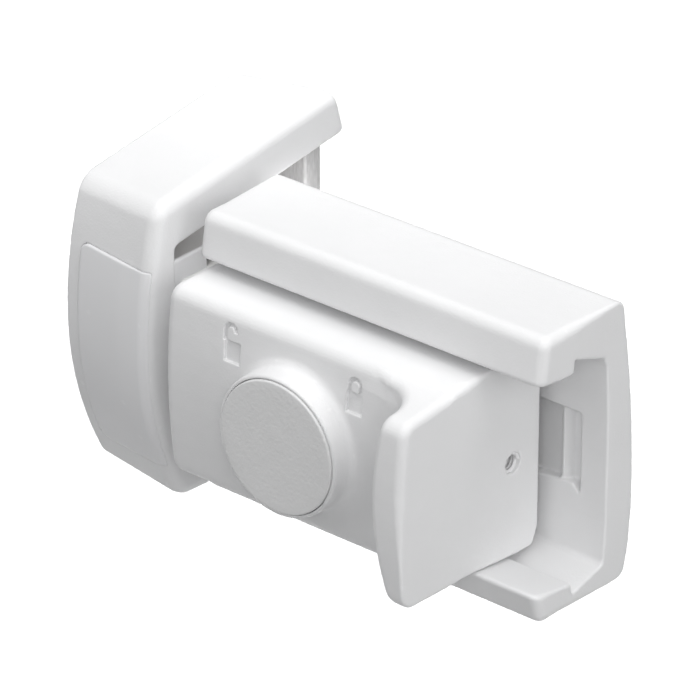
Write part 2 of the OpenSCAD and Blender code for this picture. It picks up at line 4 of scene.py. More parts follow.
import bpy
import numpy as np
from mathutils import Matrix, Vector


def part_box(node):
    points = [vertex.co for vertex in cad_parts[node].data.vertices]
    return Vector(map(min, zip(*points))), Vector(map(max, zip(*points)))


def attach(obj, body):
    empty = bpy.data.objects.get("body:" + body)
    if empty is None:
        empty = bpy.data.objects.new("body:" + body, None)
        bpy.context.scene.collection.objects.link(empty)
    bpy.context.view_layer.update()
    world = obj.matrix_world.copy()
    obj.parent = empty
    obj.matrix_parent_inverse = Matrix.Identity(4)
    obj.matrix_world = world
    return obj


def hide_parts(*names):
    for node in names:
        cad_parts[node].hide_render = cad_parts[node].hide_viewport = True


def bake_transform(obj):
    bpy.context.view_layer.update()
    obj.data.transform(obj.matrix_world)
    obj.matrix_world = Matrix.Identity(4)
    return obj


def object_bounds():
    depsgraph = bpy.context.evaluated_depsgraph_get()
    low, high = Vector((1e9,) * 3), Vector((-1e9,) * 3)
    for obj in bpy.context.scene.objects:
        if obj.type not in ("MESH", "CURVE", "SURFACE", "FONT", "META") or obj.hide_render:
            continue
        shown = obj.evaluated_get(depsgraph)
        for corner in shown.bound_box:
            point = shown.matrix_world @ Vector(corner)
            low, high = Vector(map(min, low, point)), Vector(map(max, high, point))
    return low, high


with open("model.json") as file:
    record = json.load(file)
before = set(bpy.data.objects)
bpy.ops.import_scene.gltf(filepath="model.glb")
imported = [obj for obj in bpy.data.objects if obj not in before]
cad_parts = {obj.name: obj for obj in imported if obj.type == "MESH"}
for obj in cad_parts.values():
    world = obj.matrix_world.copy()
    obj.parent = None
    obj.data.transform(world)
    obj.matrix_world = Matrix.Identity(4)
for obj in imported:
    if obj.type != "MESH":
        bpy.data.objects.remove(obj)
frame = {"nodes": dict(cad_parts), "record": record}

CAD_BOX = [list(corner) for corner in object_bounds()]
MM = 0.001

# The moulded shells are made as solids in numbers: a field holds the signed distance
# to the surface in mm, negative inside, and its zero surface becomes the mesh.
# Sizes are in mm. Gate parts are drawn in the gate frame, in which X = 0 is the
# housing's keeper end, Y = 0 its lips and Z = 0 its underside. Wall parts are drawn
# in the row's frame, in which X = 0 is the wall.

HOUSING_D = 29.0
housing_low, housing_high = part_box("rail_housing")
GATE = Vector((housing_low.x, housing_high.y - HOUSING_D * MM, housing_low.z))
WALL = Vector((0.0, 0.0, 0.0))
HOUSING_L = (housing_high.x - housing_low.x) / MM
HOUSING_H = (housing_high.z - housing_low.z) / MM
COARSE = 0.5     # grid step on plain stretches
FINE = 0.2       # and where an edge or a mark is small
FACES = 60000                           # most triangles in one moulded piece


# ---- Outlines ---------------------------------------------------------------

def unit(v):
    return v / np.linalg.norm(v)


def rounded(corners, steps=7):
    """An outline through corners [across, up, radius]; a radius of 0 leaves a corner sharp."""
    points = []
    for i, (across, up, r) in enumerate(corners):
        here = np.array([across, up], float)
        if r == 0:
            points.append(here)
            continue
        u = unit(np.array(corners[i - 1][:2], float) - here)
        v = unit(np.array(corners[(i + 1) % len(corners)][:2], float) - here)
        half = math.acos(np.clip(u @ v, -1, 1)) / 2
        mid = here + unit(u + v) * r / math.sin(half)
        start = here + u * r / math.tan(half) - mid
        end = here + v * r / math.tan(half) - mid
        a = math.atan2(start[1], start[0])
        sweep = (math.atan2(end[1], end[0]) - a + math.pi) % (2 * math.pi) - math.pi
        for t in np.linspace(0, 1, steps + 1):
            points.append(mid + r * np.array([math.cos(a + sweep * t), math.sin(a + sweep * t)]))
    return np.array(points)


def swell(p, q, height, n=10):
    """Corners strictly between two ends of a shallow curve that swells to its left."""
    p, q = np.array(p, float), np.array(q, float)
    d = unit(q - p)
    side = np.array([-d[1], d[0]])
    curve = []
    for t in np.linspace(0, 1, n + 1)[1:-1]:
        curve.append([*(p + (q - p) * t + side * 4 * height * t * (1 - t)), 0])
    return curve


def from_outline(points, a, b):
    """Signed distance to a closed outline at every pair of the values a and b."""
    across, up = np.meshgrid(a, b, indexing="ij")
    nearest = np.full(across.shape, np.inf)
    inside = np.zeros(across.shape, bool)
    for p, q in zip(points, np.roll(points, -1, axis=0)):
        edge = q - p
        along = ((across - p[0]) * edge[0] + (up - p[1]) * edge[1]) / max(edge @ edge, 1e-12)
        along = along.clip(0, 1)
        gap = (across - p[0] - along * edge[0]) ** 2 + (up - p[1] - along * edge[1]) ** 2
        nearest = np.minimum(nearest, gap)
        if p[1] != q[1]:
            spans = (p[1] > up) != (q[1] > up)
            inside ^= spans & (across < edge[0] * (up - p[1]) / edge[1] + p[0])
    return np.where(inside, -1, 1) * np.sqrt(nearest)


# ---- Fields -----------------------------------------------------------------

class Grid:
    """Sample places along X, Y and Z, closer together inside the bands given for each axis."""

    def __init__(self, low, high, bands=((), (), ())):
        self.axes = [self.places(lo - 1.5, hi + 1.5, near) for lo, hi, near in zip(low, high, bands)]
        self.x = self.axes[0][:, None, None]
        self.y = self.axes[1][None, :, None]
        self.z = self.axes[2][None, None, :]

    @staticmethod
    def places(low, high, bands):
        out = [low]
        while out[-1] < high:
            fine = any(a - COARSE <= out[-1] <= b for a, b in bands)
            out.append(out[-1] + (FINE if fine else COARSE))
        return np.array(out)

    def across_x(self, points):
        """An outline in Y and Z, drawn out along X."""
        return from_outline(points, self.axes[1], self.axes[2])[None, :, :]

    def across_y(self, points):
        """An outline in X and Z, drawn out along Y."""
        return from_outline(points, self.axes[0], self.axes[2])[:, None, :]

    def across_z(self, points):
        """An outline in X and Y, drawn out along Z."""
        return from_outline(points, self.axes[0], self.axes[1])[:, :, None]

    def sheared(self, points, shift):
        """An outline in X and Y, drawn out along Z and moved along X by an amount for each Z."""
        own = self.axes[0][:, None] + shift[None, :]
        places = np.arange(own.min() - 1, own.max() + 1, FINE)
        table = from_outline(points, places, self.axes[1])
        at = (own - places[0]) / FINE
        whole = at.astype(int).clip(0, len(places) - 2)[:, None, :]
        part = at[:, None, :] - whole
        row = np.arange(len(self.axes[1]))[None, :, None]
        return table[whole, row] * (1 - part) + table[whole + 1, row] * part

    def box(self, low, high):
        d = np.maximum(np.maximum(low[0] - self.x, self.x - high[0]),
                       np.maximum(low[1] - self.y, self.y - high[1]))
        return np.maximum(d, np.maximum(low[2] - self.z, self.z - high[2]))

    def rod_x(self, y, z, r):
        return np.sqrt((self.y - y) ** 2 + (self.z - z) ** 2) - r

    def rod_y(self, x, z, r):
        return np.sqrt((self.x - x) ** 2 + (self.z - z) ** 2) - r


def both(a, b, r=0.0):
    """What two fields share, with the edge between them rounded to radius r."""
    if np.isscalar(r) and r == 0:
        return np.maximum(a, b)
    rim = np.sqrt(np.maximum(r + a, 0) ** 2 + np.maximum(r + b, 0) ** 2)
    return np.minimum(-r, np.maximum(a, b)) + rim


def either(a, b, r=0.0):
    """Two fields joined, with a hollow fillet of radius r between them."""
    return -both(-a, -b, r)


def without(a, b, r=0.0):
    """The first field less the second, with the new edge rounded to radius r."""
    return both(a, -b, r)


class Sampler:
    """Reads a field between its samples."""

    def __init__(self, field, axes):
        self.field = field
        self.axes = axes

    def at(self, p):
        cell, part = [], []
        for m in range(3):
            i = (np.searchsorted(self.axes[m], p[:, m]) - 1).clip(0, len(self.axes[m]) - 2)
            a, b = self.axes[m][i], self.axes[m][i + 1]
            cell.append(i)
            part.append(((p[:, m] - a) / (b - a)).clip(0, 1))
        total = np.zeros(len(p))
        for i in (0, 1):
            for j in (0, 1):
                for k in (0, 1):
                    weight = ((part[0] if i else 1 - part[0]) * (part[1] if j else 1 - part[1])
                              * (part[2] if k else 1 - part[2]))
                    total += weight * self.field[cell[0] + i, cell[1] + j, cell[2] + k]
        return total

    def gradient(self, p, reach=0.6 * FINE):
        slope = np.zeros((len(p), 3))
        for m in range(3):
            step = np.zeros(3)
            step[m] = reach
            slope[:, m] = (self.at(p + step) - self.at(p - step)) / (2 * reach)
        return slope

    def settle(self, p, times=3):
        """Moves points onto the zero surface."""
        for _ in range(times):
            slope = self.gradient(p)
            size = np.maximum((slope ** 2).sum(1), 0.2)
            move = -(self.at(p) / size)[:, None] * slope
            p = p + move.clip(-0.5 * COARSE, 0.5 * COARSE)
        return p


def surface(field, axes):
    """Points and quads of a field's zero surface: one point in each cell that it crosses."""
    inside = field < 0
    count = sum(inside[i:inside.shape[0] - 1 + i, j:inside.shape[1] - 1 + j,
                       k:inside.shape[2] - 1 + k].astype(np.int8)
                for i in (0, 1) for j in (0, 1) for k in (0, 1))
    active = (count > 0) & (count < 8)
    number = np.full(active.shape, -1)
    number[active] = np.arange(active.sum())
    return cell_points(field, axes, np.argwhere(active)), cell_quads(inside, number)


def cell_points(field, axes, cells):
    """The mean of the places where each cell's edges cross the surface."""
    total = np.zeros((len(cells), 3))
    found = np.zeros(len(cells))
    for m in range(3):
        for i in (0, 1):
            for j in (0, 1):
                a = cells.copy()
                a[:, (m + 1) % 3] += i
                a[:, (m + 2) % 3] += j
                b = a.copy()
                b[:, m] += 1
                fa, fb = field[tuple(a.T)], field[tuple(b.T)]
                cut = (fa < 0) != (fb < 0)
                t = np.where(cut, fa / np.where(cut, fa - fb, 1), 0)
                for n in range(3):
                    place = axes[n][a[:, n]]
                    if n == m:
                        place = place + t * (axes[n][b[:, n]] - place)
                    total[:, n] += np.where(cut, place, 0)
                found += cut
    return total / found[:, None]


def cell_quads(inside, number):
    """One quad about each grid edge that crosses the surface, between the cells around it."""
    quads = []
    for m in range(3):
        u, v = (m + 1) % 3, (m + 2) % 3
        low, high = [slice(None)] * 3, [slice(None)] * 3
        low[m], high[m] = slice(0, -1), slice(1, None)
        for axis in (u, v):
            low[axis] = high[axis] = slice(1, -1)
        cut = inside[tuple(low)] != inside[tuple(high)]
        first = inside[tuple(low)][cut]
        at = np.argwhere(cut)
        at[:, u] += 1
        at[:, v] += 1
        ring = []
        for du, dv in ((-1, -1), (0, -1), (0, 0), (-1, 0)):
            cell = at.copy()
            cell[:, u] += du
            cell[:, v] += dv
            ring.append(number[tuple(cell.T)])
        ring = np.array(ring).T
        quads.append(np.where(first[:, None], ring, ring[:, ::-1]))
    return np.concatenate(quads)


def new_mesh(name, points, faces):
    mesh = bpy.data.meshes.new(name)
    mesh.from_pydata(np.asarray(points).tolist(), [], faces)
    mesh.update()
    return mesh


def new_object(name, mesh):
    obj = bpy.data.objects.new(name, mesh)
    bpy.context.scene.collection.objects.link(obj)
    return obj


def thinned(mesh, faces):
    """The same surface with fewer triangles, most of them kept where it curves."""
    if len(mesh.polygons) * 2 <= faces:
        return mesh
    obj = new_object("thinning", mesh)
    modifier = obj.modifiers.new("thin", "DECIMATE")
    modifier.ratio = faces / (2 * len(mesh.polygons))
    thin = bpy.data.meshes.new_from_object(obj.evaluated_get(bpy.context.evaluated_depsgraph_get()))
    bpy.data.objects.remove(obj)
    return thin


def moulded(name, field, grid, origin, faces=FACES):
    """A mesh object of a field's surface, shaded by the field's own slope."""
    field = np.broadcast_to(field, [len(a) for a in grid.axes]).astype(np.float32)
    sampler = Sampler(field, grid.axes)
    points, quads = surface(field, grid.axes)
    mesh = new_mesh(name, sampler.settle(points), quads.tolist())
    mesh = thinned(mesh, faces)
    mesh.name = name
    points = np.zeros(len(mesh.vertices) * 3)
    mesh.vertices.foreach_get("co", points)
    points = points.reshape(-1, 3)
    slope = sampler.gradient(points)
    slope /= np.maximum(np.linalg.norm(slope, axis=1), 1e-9)[:, None]
    mesh.vertices.foreach_set("co", (points * MM + np.array(origin)).ravel())
    mesh.update()
    shade(mesh, slope)
    return new_object(name, mesh)


def shade(mesh, slope, crease=0.8):
    """Smooth shading from each point's own normal, except where a face turns away from it."""
    mesh.polygons.foreach_set("use_smooth", np.ones(len(mesh.polygons), bool))
    flat = np.zeros(len(mesh.polygons) * 3)
    mesh.polygons.foreach_get("normal", flat)
    sizes = np.zeros(len(mesh.polygons), int)
    mesh.polygons.foreach_get("loop_total", sizes)
    flat = np.repeat(flat.reshape(-1, 3), sizes, axis=0)
    owner = np.zeros(len(mesh.loops), int)
    mesh.loops.foreach_get("vertex_index", owner)
    smooth = slope[owner]
    agrees = (flat * smooth).sum(1) > crease
    mesh.normals_split_custom_set(np.where(agrees[:, None], smooth, flat).tolist())


# ---- Wall half --------------------------------------------------------------

KEEPER_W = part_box("keeper_shell")[1].x / MM
KEEPER_TOP, KEEPER_BOTTOM, KEEPER_IN = 30.5, -34.0, -29.7
LEFT_BARREL = (-37.35, 2.0, 0.0062, 0.0079)     # crown in Y, crown in Z, bow above and below
RIGHT_BARREL = (-38.6, -1.0, 0.0045, 0.0078)
UPPER_FLARE, LOWER_FLARE, FRONT_TURN, BACK_TURN = (math.radians(a) for a in (8.1, 4.4, 6.1, 12.0))
BACK_CROWN, BACK_BOW = 24.7, 0.0047
LOWER_TILT = 1.5                                # how much lower the open side's front corner is
UPPER_ARM_T, LOWER_ARM_T, WEB_T, WEB_BACK = 10.3, 9.4, 3.0, 14.3
WALL_HOLE_Z, WALL_HOLE_R = 14.0, 2.6
BRACKET_T, LEG_Y, WEB_LEG_Z = 3.0, 12.2, 23.0   # LEG_Y: front of the leg across the back
BRACKET_FACES = 16000
COVER_X, COVER_Z = (3.4, 21.8), (-26.4, 17.4)
COVER_RISE = 1.2                                # how much higher its outer top corner is
COVER_DEEP, COVER_PROUD, COVER_BACK = 1.6, 0.42, -20.0
FAR = 200.0


def barrel_y(curve, z):
    """Where a barrel curve's front lies at each height."""
    crown, middle, above, below = curve
    return crown + np.where(z > middle, above, below) * (z - middle) ** 2


def upper_z(y):
    """Height of the keeper's top, which rises towards the back."""
    return KEEPER_TOP + (y - barrel_y(RIGHT_BARREL, KEEPER_TOP)) * math.tan(UPPER_FLARE)


def lower_z(y):
    """Height of the keeper's underside, which falls towards the back."""
    return KEEPER_BOTTOM - (y - barrel_y(RIGHT_BARREL, KEEPER_BOTTOM)) * math.tan(LOWER_FLARE)


def steep(line, grid):
    """Turns a height difference into a distance, for a surface given as Y over X and Z."""
    return 1 / np.sqrt(1 + np.gradient(line, grid.axes[2], axis=2) ** 2)


def keeper_grid():
    low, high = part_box("keeper_shell")
    return Grid(np.array(low) / MM, np.array(high) / MM,
                ([(19.5, 23)], [(-40, -34)], [(-26.5, -24), (16, 18.6)]))


def keeper_front(grid):
    """Twisted barrel front with everything behind it, rounded to the top, bottom and open side."""
    share = (grid.x / KEEPER_W).clip(0, 1)
    line = barrel_y(LEFT_BARREL, grid.z) * (1 - share) + barrel_y(RIGHT_BARREL, grid.z) * share
    front = (line - grid.y) * steep(line, grid)
    own = grid.y + (grid.x - KEEPER_W) * math.sin(FRONT_TURN)
    top = (grid.z - upper_z(own)) * math.cos(UPPER_FLARE)
    drop = LOWER_TILT * share * ((BACK_CROWN - own) / (BACK_CROWN - RIGHT_BARREL[0])).clip(0, 1)
    bottom = (lower_z(own) - drop - grid.z) * math.cos(LOWER_FLARE)
    front = both(both(front, top, 3.0), bottom, 3.0)
    return both(front, grid.x - KEEPER_W, 3.0)


def keeper_back(grid):
    """Bulging arm ends with everything in front of them."""
    line = BACK_CROWN - BACK_BOW * grid.z ** 2 + (grid.x - KEEPER_W) * math.tan(BACK_TURN)
    return (grid.y - line) * steep(line, grid) * math.cos(BACK_TURN)


def cover_outline(slack):
    """The panel's outline in X and Z, or its seat's: looser at the left and top, tighter elsewhere."""
    return rounded([[COVER_X[0] - slack, COVER_Z[0] + 2 * slack, 2],
                    [COVER_X[1] - 2 * slack, COVER_Z[0] + 2 * slack, 0.5],
                    [COVER_X[1] - 2 * slack, COVER_Z[1] + slack, 0.5],
                    [COVER_X[0] - slack, COVER_Z[1] + COVER_RISE + slack, 2]])


def cover_proud(grid):
    """How far the panel stands out: least at the open side and at the bottom."""
    across = ((COVER_X[1] - grid.x) / 7).clip(0, 1)
    return 0.03 + COVER_PROUD * across * ((grid.z - COVER_Z[0]) / 14).clip(0, 1)


def keeper_shell():
    """Front wall, two arms and the web on the wall, with a seat for the cover."""
    grid = keeper_grid()
    front = keeper_front(grid)
    solid = both(both(front, keeper_back(grid), 2.0), -grid.x, 0.6)
    bay = grid.across_x(rounded([
        [KEEPER_IN, upper_z(KEEPER_IN) - UPPER_ARM_T, 1.2],
        [KEEPER_IN, lower_z(KEEPER_IN) + LOWER_ARM_T, 1.2],
        [FAR, lower_z(FAR) + LOWER_ARM_T, 0], [FAR, upper_z(FAR) - UPPER_ARM_T, 0]]))
    web = np.maximum(grid.x - WEB_T, grid.y - WEB_BACK)
    solid = without(solid, without(bay, web), 0.9)
    seat = both(grid.across_y(cover_outline(0.05)), -(front + COVER_DEEP))
    solid = without(solid, both(seat, grid.y - COVER_BACK), 0.1)
    for z in (-WALL_HOLE_Z, WALL_HOLE_Z):
        solid = without(solid, grid.rod_x(0, z, WALL_HOLE_R), 0.3)
    return moulded("keeper_moulding", solid, grid, WALL)


def keeper_cover():
    """Panel that follows the keeper's front."""
    grid = keeper_grid()
    front = keeper_front(grid)
    skin = both(front - cover_proud(grid), grid.across_y(cover_outline(0)), 0.35)
    panel = both(both(skin, -(front + COVER_DEEP)), grid.y - COVER_BACK)
    return moulded("keeper_panel", panel, grid, WALL)


def strike_bracket():
    """Steel angle with two holes for the wall screws and two countersinks for its own."""
    low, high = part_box("strike_bracket")
    grid = Grid(np.array(low) / MM, np.array(high) / MM, ([(4, 6)], [(-10, -4)], [(-19, -13), (13, 19)]))
    web_x = WEB_T + BRACKET_T
    web = grid.box((WEB_T, low.y / MM, -WEB_LEG_Z), (web_x, high.y / MM, WEB_LEG_Z))
    leg = grid.box((WEB_T, LEG_Y, low.z / MM), (high.x / MM, high.y / MM, high.z / MM))
    solid = either(web, leg, 1.2)
    solid = both(solid, grid.y - high.y / MM, 0.4)
    for z in (-WALL_HOLE_Z, WALL_HOLE_Z):
        solid = without(solid, grid.rod_x(0, z, WALL_HOLE_R), 0.2)
    screw_low, screw_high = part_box("strike_screws")
    middle = (screw_low.y + screw_high.y) / 2 / MM
    slack, shank = 0.12, 1.7
    head = (screw_high.y - screw_low.y) / 2 / MM + slack
    for z in (screw_low.z / MM + head, screw_high.z / MM - head):
        sink = (grid.rod_x(middle, z, head) + web_x - grid.x) * math.sqrt(0.5)
        solid = without(solid, np.minimum(sink, grid.rod_x(middle, z, shank)))
    return moulded("bracket_plate", solid, grid, WALL, BRACKET_FACES)


# ---- Gate half: rail housing ------------------------------------------------

LIP_TOP, GROOVE_Y, BACK_IN = 50.4, 10.5, 20.9
LAND_Z = 12.0
POCKET_X, POCKET_TOP, POCKET_DEPTH = (59.5, 77.9), 35.2, 2.0
GATE_HOLE = (12.0, 24.0)
GATE_HOLE_GAP, GATE_HOLE_R, GATE_SINK_R = 40.0, 2.25, 4.75
BUTTON_X, BUTTON_Z = 33.3, 27.0
NOTCH_X = (BUTTON_X - 4.5, BUTTON_X + 4.5)      # where the lock leaf's tabs enter the lips
NOTCH_Y = (7.9, GROOVE_Y + 1.1)
NOTCHES_Z = ((LIP_TOP - 2, 51.7), (3.5, 7.0))


def housing_outside():
    """Side outline of the rail: two lips at the front, a bowed back and a flat land below it."""
    top = HOUSING_H
    bulge = swell([25, top - 2], [HOUSING_D, LAND_Z + 2], 1.2, 12)
    return rounded([
        [0.2, LIP_TOP + 0.2, 0], [1.8, top, 2.6], [25, top, 2.8], *bulge,
        [HOUSING_D, LAND_Z + 2, 0], [HOUSING_D - 0.7, 6, 4],
        [26.9, 0, 2.6], [1.8, 0, 2.4], [0.1, 6.8, 0]])


def housing_channel():
    """Undercut channel that the slide runs in."""
    return rounded([
        [-FAR, 6.8, 0], [0.1, 6.8, 0], [GROOVE_Y + 0.2, 5.35, 0.3], [GROOVE_Y + 0.6, 3, 0.3],
        [20.4, 5.4, 1], [BACK_IN, 14, 0], [BACK_IN, 36, 0], [20.3, 47.5, 0], [19.4, 49.6, 0.6],
        [GROOVE_Y, 52.8, 0.3], [GROOVE_Y - 0.3, LIP_TOP - 0.4, 0.3], [0.2, LIP_TOP + 0.2, 0],
        [-FAR, LIP_TOP + 0.2, 0]])


def travel_pocket(grid):
    """Recess with a pointed lower corner and a detent ridge that slopes down to its floor."""
    outline = rounded([[POCKET_X[0], 18.6, 0.3], [74, 19.7, 0.3], [POCKET_X[1] - 1.7, 19.7, 0.3],
                       [POCKET_X[1], 18.0, 0.2], [POCKET_X[1], POCKET_TOP, 0.3],
                       [POCKET_X[0], POCKET_TOP, 0.3]])
    floor = BACK_IN + POCKET_DEPTH
    recess = both(grid.across_y(outline), np.maximum(BACK_IN - 1 - grid.y, grid.y - floor))
    ridge = rounded([[72.9, floor + 2, 0], [73.1, BACK_IN + 0.35, 0.3], [73.5, BACK_IN + 0.35, 0.3],
                     [74.9, floor, 0.6], [74.9, floor + 2, 0]])
    return without(recess, grid.across_z(ridge), 0.2)


def rail_housing():
    """C-shaped rail, rounder at its ends towards the front than towards the gate."""
    grid = Grid((0, 0, 0), (HOUSING_L, HOUSING_D, HOUSING_H),
                ([(-1, 1), (HOUSING_L - 1, HOUSING_L + 1)], [(8.5, 12)], ()))
    solid = both(grid.across_x(housing_outside()), grid.y - HOUSING_D)
    soft = 0.6 + 1.4 * ((22 - grid.y) / 14).clip(0, 1)
    solid = both(solid, np.maximum(-grid.x, grid.x - HOUSING_L), soft)
    solid = without(solid, grid.across_x(housing_channel()), 0.4 + 0.6 * ((6 - grid.y) / 4).clip(0, 1))
    solid = without(solid, travel_pocket(grid), 0.25)
    for low, high in NOTCHES_Z:
        notch = grid.box((NOTCH_X[0], NOTCH_Y[0], low), (NOTCH_X[1], NOTCH_Y[1], high))
        solid = without(solid, notch, 0.15)
    for x in (GATE_HOLE[0], GATE_HOLE[0] + GATE_HOLE_GAP):
        hole = grid.rod_y(x, GATE_HOLE[1], GATE_HOLE_R)
        sink = (grid.rod_y(x, GATE_HOLE[1], GATE_SINK_R) + grid.y - BACK_IN) * math.sqrt(0.5)
        cut = both(np.minimum(hole, sink), BACK_IN - 3 - grid.y)
        solid = without(solid, cut, 0.2)
    return moulded("housing_moulding", solid, grid, GATE)


# ---- Gate half: sliding bolt ------------------------------------------------

SLIDE_L = 70.0
SLIDE_Z = (7.5, 48.0)
SLIDE_FRONT, SLIDE_BOW, SLIDE_BACK = -8.3, 1.7, 18.8
FLANGE_Y, FLANGE_BOW, FLANGE_FILLET = 22.4, 1.4, 8.0
BOSS_R, BOSS_FRONT = 14.6, -14.9
BUTTON_R, BUTTON_PROUD = 13.75, 0.3
BORE_R = 13.87
POSTS_X, POSTS_Z, POST_R = (19.5, 55), (14.2, 41), 2.8
END_HOLE = (10.8, 26.0)                         # Y and Z of the threaded hole
THREAD_R, THREAD_DEPTH, THREAD_BOSS_R = 2.15, 11, 3.1
PADLOCKS = ((15.4, 37.4, True), (45.9, 37.0, False))    # left, bottom, whether it is open
PADLOCK_DEPTH = 0.8
TONGUE_NOSE, TONGUE_FACES = 3.5, 12000


def slide_section():
    """Side outline of the slide, bowed at the front, with ribs that run in the rail's grooves."""
    ends = [SLIDE_FRONT, SLIDE_Z[0]], [SLIDE_FRONT, SLIDE_Z[1]]
    return rounded([
        [SLIDE_FRONT, SLIDE_Z[1], 3.2], [GROOVE_Y + 0.45, SLIDE_Z[1] + 0.5, 0],
        [GROOVE_Y + 0.45, 52.1, 0.5], [16.8, 50, 2], [SLIDE_BACK, 45, 2],
        [SLIDE_BACK, 9.5, 2], [17, 5, 2], [GROOVE_Y + 1.05, 3.6, 0.5],
        [GROOVE_Y + 1.05, 5.75, 0], [0, 7.0, 0], [SLIDE_FRONT, SLIDE_Z[0], 3.2],
        *swell(*ends, SLIDE_BOW)])


def flange_section():
    """Side outline of the finger flange, bowed at the front."""
    y = -FLANGE_Y + FLANGE_BOW
    low, high = [y, SLIDE_Z[0] + 0.2], [y, SLIDE_Z[1] - 1.6]
    return rounded([
        [*high, 3.5], [SLIDE_FRONT, SLIDE_Z[1] - 0.5, 3], [0, SLIDE_Z[1], 0],
        [0, SLIDE_Z[0] - 0.5, 0], [*low, 3.5], *swell(low, high, FLANGE_BOW)])


def flange_left(grid):
    """What lies right of the flange's left face, which bulges and flows into the slide's front."""
    thick = 7.4 - 2.4 * ((grid.axes[2] - 31) / 20) ** 2
    y0 = SLIDE_FRONT - SLIDE_BOW + 0.5
    hollow = [[-FLANGE_FILLET * (1 - math.cos(a)), y0 - FLANGE_FILLET * (1 - math.sin(a)), 0]
              for a in np.radians(np.arange(90, 0, -7.5))]
    # The two first points let the hollow run out into the slide's front without a step.
    plan = rounded([[-FLANGE_FILLET - 14, y0 + 5.4, 0], [-FLANGE_FILLET - 4, y0 + 1.2, 0], *hollow,
                    [0, y0 - FLANGE_FILLET, 0], [0, -FAR, 0], [FAR, -FAR, 0], [FAR, y0 + 5.4, 0]])
    return grid.sheared(plan, thick - SLIDE_L)


def padlock(grid, left, bottom, open_shackle):
    """Silhouette of a padlock in X and Z."""
    w, h, r, hole = 4.0, 4.4, 1.75, 0.9
    lift = 1.9 if open_shackle else 1.3
    middle = left + (1.4 if open_shackle else w / 2)
    x, z = grid.x, grid.z
    body = np.maximum(abs(x - left - w / 2) - w / 2, abs(z - bottom - h / 2) - h / 2)
    ring = abs(np.sqrt((x - middle) ** 2 + (z - bottom - h - lift) ** 2) - (r + hole) / 2)
    ring = np.maximum(ring - (r - hole) / 2, bottom + h + lift - z)
    both_legs = abs(x - middle) if not open_shackle else middle - x
    leg = abs(both_legs - (r + hole) / 2) - (r - hole) / 2
    leg = np.maximum(leg, np.maximum(bottom + h - 0.2 - z, z - bottom - h - lift))
    return np.minimum(body, np.minimum(ring, leg))


def button_boss(grid):
    """Round wall around the button's bore, a little wider at its foot."""
    away = np.sqrt((grid.x - BUTTON_X) ** 2 + (grid.z - BUTTON_Z) ** 2)
    wall = away - BOSS_R - 0.2 * (grid.y - BOSS_FRONT) / 5
    return both(both(wall, BOSS_FRONT - grid.y, 0.7), grid.y + 4)


def slide_cavity(grid):
    """Room inside the slide, less the screw posts, the button's tube and the thread's boss."""
    room = grid.box((2.6, -6.4, 10.4), (SLIDE_L - 3.8, SLIDE_BACK + 3, 45))
    posts = [grid.rod_y(x, z, POST_R) for x in POSTS_X for z in POSTS_Z]
    keep = np.maximum(np.minimum.reduce(posts), grid.y - 14)
    tube = np.maximum(grid.rod_y(BUTTON_X, BUTTON_Z, BOSS_R + 0.1), grid.y + 3)
    boss = np.maximum(grid.rod_x(*END_HOLE, THREAD_BOSS_R), SLIDE_L - THREAD_DEPTH + 1 - grid.x)
    return without(room, np.minimum(keep, np.minimum(tube, boss)), 0.3)


def slide_openings(grid):
    """The button's bore, the end hole, the tongue's window and the lock leaf's slots."""
    bore = np.maximum(grid.rod_y(BUTTON_X, BUTTON_Z, BORE_R), grid.y)
    thread = np.maximum(grid.rod_x(*END_HOLE, THREAD_R), SLIDE_L - THREAD_DEPTH - grid.x)
    window = grid.box((-2, 1.6, 12.2), (3.6, SLIDE_BACK + 2, 43))
    slots = np.minimum(grid.box((NOTCH_X[0], 10.7, 0), (NOTCH_X[1], SLIDE_BACK + 2, 11.4)),
                       grid.box((NOTCH_X[0], 10.7, 44), (NOTCH_X[1], SLIDE_BACK + 2, 60)))
    return bore, thread, np.minimum(window, slots)


def end_relief():
    """Corner taken off the slide's lower back edge at its end, clear of the lip's hook."""
    return rounded([[GROOVE_Y, 0, 0], [GROOVE_Y, 5.8, 0.3], [17.9, 5.8, 1.6], [18.7, 8.8, 3],
                    [SLIDE_BACK + 0.6, 12.5, 1.5], [FAR, 12.5, 0], [FAR, 0, 0]])


def slide_shell():
    """Hollow sliding body with the finger flange, the button's boss and two padlock marks."""
    grid = Grid((0, -FLANGE_Y - 1, 3), (SLIDE_L, SLIDE_BACK, 52.5),
                ([(15, 20), (45.5, 50.2), (SLIDE_L - 1.2, SLIDE_L + 0.5)],
                 [(-15.5, -14), (-10.2, -8.4)], [(36.6, 46)]))
    section = grid.across_x(slide_section())
    body = both(section, -grid.x, 2.4)
    flange = both(grid.across_x(flange_section()), flange_left(grid), 1.6)
    middle = ((47 - grid.z) / 4).clip(0, 1) * ((grid.z - 8) / 4).clip(0, 1)
    solid = either(body, flange, 2.0 * middle)
    solid = either(solid, button_boss(grid), 1.5)
    high_front = ((4 - grid.y) / 8).clip(0, 1) * ((grid.z - 18) / 14).clip(0, 1)
    solid = both(solid, grid.x - SLIDE_L, 0.6 + 1.2 * high_front)
    solid = without(solid, both(grid.across_x(end_relief()), SLIDE_L - 5 - grid.x), 0.4)
    solid = without(solid, slide_cavity(grid))
    bore, thread, windows = slide_openings(grid)
    solid = without(solid, bore, 0.25)
    solid = without(solid, thread, 0.05)
    solid = without(solid, windows, 0.2)
    for left, bottom, open_shackle in PADLOCKS:
        mark = both(padlock(grid, left, bottom, open_shackle), -(section + PADLOCK_DEPTH))
        solid = without(solid, both(mark, grid.y), 0.05)
    return moulded("slide_moulding", solid, grid, GATE, 2 * FACES)


